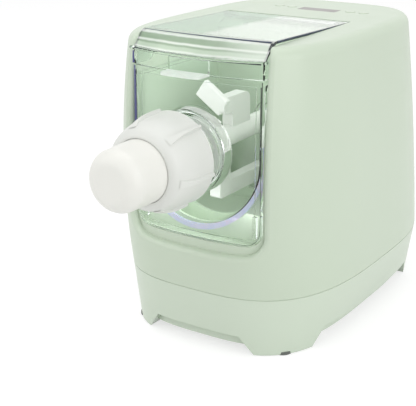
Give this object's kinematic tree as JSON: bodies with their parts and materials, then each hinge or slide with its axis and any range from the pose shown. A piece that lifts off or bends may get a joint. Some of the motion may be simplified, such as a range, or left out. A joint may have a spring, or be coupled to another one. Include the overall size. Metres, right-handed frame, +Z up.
{
  "type": "electric pasta maker",
  "caption": "Countertop electric pasta maker: pale green housing, clear lid and mixing cup, white die cap pressing dough out at the front.",
  "frame": {"origin": "centre of the machine's box on the surface it stands on", "axes": "+Z up, -Y towards the die at the front, +X across the machine"},
  "size_m": [0.2082, 0.4106, 0.263],
  "materials": {
    "green_shell": "satin pale green moulded plastic",
    "clear_plastic": "clear polished plastic",
    "frosted_plastic": "clear plastic with a fine matt texture",
    "white_plastic": "smooth white plastic",
    "white_soft": "fine matt white plastic",
    "lavender_silicone": "translucent lavender silicone",
    "dark_rubber": "matt dark rubber",
    "steel": "brushed steel",
    "zinc_plate": "zinc plated sheet",
    "bronze": "sintered bronze",
    "gear_plastic": "natural acetal",
    "copper": "copper windings and laminations",
    "ferrite": "dark sintered ferrite",
    "black_plastic": "fine matt black plastic",
    "display_grey": "smoked grey lens",
    "board_green": "green circuit board"
  },
  "bodies": {
    "machine": {"upper_housing": "green_shell", "base_tray": "green_shell", "rubber_pads": "dark_rubber", "base_screws": "steel", "bay_liner": "green_shell", "wall_seal": "dark_rubber", "lid_switch": "black_plastic", "hinge_pin": "steel", "gearbox_plate": "zinc_plate", "gearbox_cover": "zinc_plate", "gearbox_standoffs": "steel", "gearbox_screws": "steel", "front_bearing": "steel", "rear_bearing": "steel", "idler_bushes": "bronze", "motor_can": "zinc_plate", "motor_end_cap": "black_plastic", "motor_magnets": "ferrite", "power_inlet": "black_plastic", "display_window": "display_grey", "display_module": "black_plastic", "control_board": "board_green", "board_screws": "steel", "power_board": "board_green", "board_clips": "black_plastic"},
    "lid": {"lid": "clear_plastic", "thumb_tab": "frosted_plastic"},
    "plunger": {"switch_plunger": "white_soft"},
    "cup": {"mixing_cup": "clear_plastic", "cup_seal": "lavender_silicone", "hub_seal": "lavender_silicone"},
    "panel": {"front_panel": "clear_plastic", "die_cap": "white_plastic", "die_seal": "lavender_silicone"},
    "nut": {"retaining_nut": "white_plastic"},
    "mixer": {"mixing_paddle": "white_soft", "extruder_auger": "white_soft"},
    "drive": {"drive_shaft": "steel", "output_wheel": "gear_plastic"},
    "idler": {"idler_wheel": "gear_plastic", "slow_pinion": "steel", "idler_shaft": "steel"},
    "rotor": {"motor_rotor": "copper", "motor_shaft": "steel", "motor_pinion": "bronze", "cooling_fan": "gear_plastic"},
    "key_1": {"key_1": "green_shell"},
    "key_2": {"key_2": "green_shell"},
    "key_3": {"key_3": "green_shell"},
    "key_4": {"key_4": "green_shell"}
  },
  "joints": [
    {"name": "lid_hinge", "type": "hinge", "parent": "machine", "child": "lid", "pos_m": [0, 0.05035, 0.2558], "axis": [-1, 0, 0], "range_deg": [0, 95]},
    {"name": "plunger_press", "type": "slide", "parent": "machine", "child": "plunger", "axis": [0, 0, -1], "range_m": [0, 0.0008], "stiffness_N_per_m": 300, "springref_m": -0.002},
    {"name": "cup_slide", "type": "slide", "parent": "machine", "child": "cup", "axis": [0, -1, 0], "range_m": [0, 0.12]},
    {"name": "panel_slide", "type": "slide", "parent": "cup", "child": "panel", "axis": [0, -1, 0], "range_m": [0, 0.075]},
    {"name": "nut_turn", "type": "hinge", "parent": "panel", "child": "nut", "pos_m": [0, -0.14705, 0.174], "axis": [0, 1, 0], "range_deg": [0, 60]},
    {"name": "drive_spin", "type": "hinge", "parent": "machine", "child": "drive", "pos_m": [0, 0.05295, 0.174], "axis": [0, 1, 0], "continuous": true},
    {"name": "mixer_spin", "type": "hinge", "parent": "cup", "child": "mixer", "pos_m": [0, -0.02705, 0.174], "axis": [0, 1, 0], "continuous": true},
    {"name": "idler_spin", "type": "hinge", "parent": "machine", "child": "idler", "pos_m": [-0.03375, 0.07295, 0.129], "axis": [0, 1, 0], "continuous": true},
    {"name": "motor_spin", "type": "hinge", "parent": "machine", "child": "rotor", "pos_m": [0, 0.11295, 0.09924], "axis": [0, 1, 0], "continuous": true},
    {"name": "key_1_press", "type": "slide", "parent": "machine", "child": "key_1", "axis": [0, 0, -1], "range_m": [0, 0.0008], "stiffness_N_per_m": 400, "springref_m": -0.001},
    {"name": "key_2_press", "type": "slide", "parent": "machine", "child": "key_2", "axis": [0, 0, -1], "range_m": [0, 0.0008], "stiffness_N_per_m": 400, "springref_m": -0.001},
    {"name": "key_3_press", "type": "slide", "parent": "machine", "child": "key_3", "axis": [0, 0, -1], "range_m": [0, 0.0008], "stiffness_N_per_m": 400, "springref_m": -0.001},
    {"name": "key_4_press", "type": "slide", "parent": "machine", "child": "key_4", "axis": [0, 0, -1], "range_m": [0, 0.0008], "stiffness_N_per_m": 400, "springref_m": -0.001}
  ],
  "couplings": [
    {"joint": "mixer_spin", "follows": "drive_spin", "ratio": 1},
    {"joint": "idler_spin", "follows": "drive_spin", "ratio": -4},
    {"joint": "motor_spin", "follows": "drive_spin", "ratio": 16}
  ]
}
